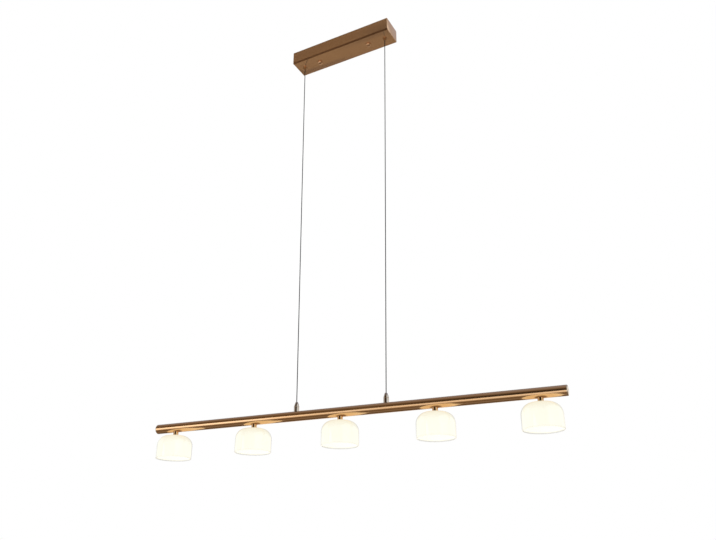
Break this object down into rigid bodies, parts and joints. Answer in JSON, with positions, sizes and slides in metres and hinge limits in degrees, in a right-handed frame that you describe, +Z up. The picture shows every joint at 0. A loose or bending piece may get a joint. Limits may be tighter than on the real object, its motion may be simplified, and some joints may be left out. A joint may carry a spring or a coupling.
{
  "type": "linear island pendant",
  "caption": "Linear pendant light: opal glass dome shades under a round metal bar, hung on two thin cables from a box-shaped ceiling canopy.",
  "frame": {"origin": "centre of the mains entry hole, in the plane of the ceiling", "axes": "+X along the canopy, +Z up into the ceiling, +Y across the canopy, away from the side that the picture shows"},
  "size_m": [1.1234, 0.1844, 1.2757],
  "materials": {
    "bronze_paint": "satin bronze paint",
    "zinc_steel": "zinc plated steel",
    "polished_brass": "polished",
    "white_plastic": "fine matte",
    "plated_brass": "plain turned",
    "earth_insulation": "green and yellow insulation",
    "mains_insulation": "brown insulation",
    "bar_brass": "satin polished copper-toned brass",
    "grip_metal": "polished",
    "bright_steel": "polished",
    "spring_steel": "drawn wire",
    "steel_cable": "fine stranded, clear coated",
    "polished_coupler": "polished",
    "red_insulation": "red insulation",
    "black_insulation": "black insulation",
    "silicone": "clear silicone",
    "board_aluminium": "white solder mask",
    "opal_glass": "glossy opal glass, lit",
    "cast_aluminium": "white painted",
    "opal_diffuser": "frosted, lit"
  },
  "bodies": {
    "canopy": {"canopy_cover": "bronze_paint", "ceiling_bracket": "zinc_steel", "cover_studs": "zinc_steel", "cap_nuts": "polished_brass", "led_driver": "white_plastic", "driver_fixings": "zinc_steel", "terminal_block": "white_plastic", "earth_screw": "plated_brass", "earth_lead": "earth_insulation", "mains_leads": "mains_insulation", "left_cable_tail": "steel_cable", "right_cable_tail": "steel_cable", "left_grip_body": "grip_metal", "right_grip_body": "grip_metal", "grip_locknuts": "zinc_steel", "left_grip_spring": "spring_steel", "right_grip_spring": "spring_steel"},
    "left_plunger": {"left_grip_plunger": "grip_metal", "left_grip_balls": "bright_steel"},
    "right_plunger": {"right_grip_plunger": "grip_metal", "right_grip_balls": "bright_steel"},
    "left_cable": {"left_cable": "steel_cable"},
    "left_cable_end": {"left_cable_end": "bright_steel"},
    "bar": {"bar_tube": "bar_brass", "left_end_cap": "bar_brass", "right_end_cap": "bar_brass", "left_coupler_body": "polished_coupler", "right_coupler_body": "polished_coupler", "left_coupler_nose": "polished_coupler", "right_coupler_nose": "polished_coupler", "right_cable_end": "bright_steel", "positive_feed_wire": "red_insulation", "negative_feed_wire": "black_insulation", "short_leads": "black_insulation", "tube_nuts": "zinc_steel", "threaded_nipples": "zinc_steel", "shade_gaskets": "silicone", "led_boards": "board_aluminium", "neck_1": "bar_brass", "shade_glass_1": "opal_glass", "lamp_base_1": "cast_aluminium", "diffuser_1": "opal_diffuser", "neck_2": "bar_brass", "shade_glass_2": "opal_glass", "lamp_base_2": "cast_aluminium", "diffuser_2": "opal_diffuser", "neck_3": "bar_brass", "shade_glass_3": "opal_glass", "lamp_base_3": "cast_aluminium", "diffuser_3": "opal_diffuser", "neck_4": "bar_brass", "shade_glass_4": "opal_glass", "lamp_base_4": "cast_aluminium", "diffuser_4": "opal_diffuser", "neck_5": "bar_brass", "shade_glass_5": "opal_glass", "lamp_base_5": "cast_aluminium", "diffuser_5": "opal_diffuser"},
    "right_cable": {"right_cable": "steel_cable"}
  },
  "joints": [
    {"name": "swing", "type": "hinge", "parent": "canopy", "child": "left_cable", "pos_m": [0, 0, -0.0515], "axis": [1, 0, 0], "range_deg": [-20, 20]},
    {"name": "bar_height", "type": "slide", "parent": "left_cable", "child": "left_cable_end", "axis": [0, 0, 1], "range_m": [0, 0.6], "deforming": ["left_cable", "right_cable"]},
    {"name": "bar_turn", "type": "hinge", "parent": "left_cable_end", "child": "bar", "pos_m": [-0.12451, -0.01111, -1.191], "axis": [0, 0, 1], "range_deg": [-10.2, 0]},
    {"name": "right_cable_sway", "type": "hinge", "parent": "left_cable", "child": "right_cable", "pos_m": [0.145, 0, -0.0515], "axis": [1, 0, 0], "range_deg": [-3, 0.2]},
    {"name": "left_grip_release", "type": "slide", "parent": "canopy", "child": "left_plunger", "axis": [0, 0, 1], "range_m": [0, 0.0025], "stiffness_N_per_m": 400, "springref_m": -0.004, "deforming": ["left_grip_spring"]},
    {"name": "right_grip_release", "type": "slide", "parent": "canopy", "child": "right_plunger", "axis": [0, 0, 1], "range_m": [0, 0.0025], "stiffness_N_per_m": 400, "springref_m": -0.004, "deforming": ["right_grip_spring"]}
  ],
  "couplings": [
    {"joint": "right_cable_sway", "follows": "bar_turn", "ratio": 0.2238}
  ]
}
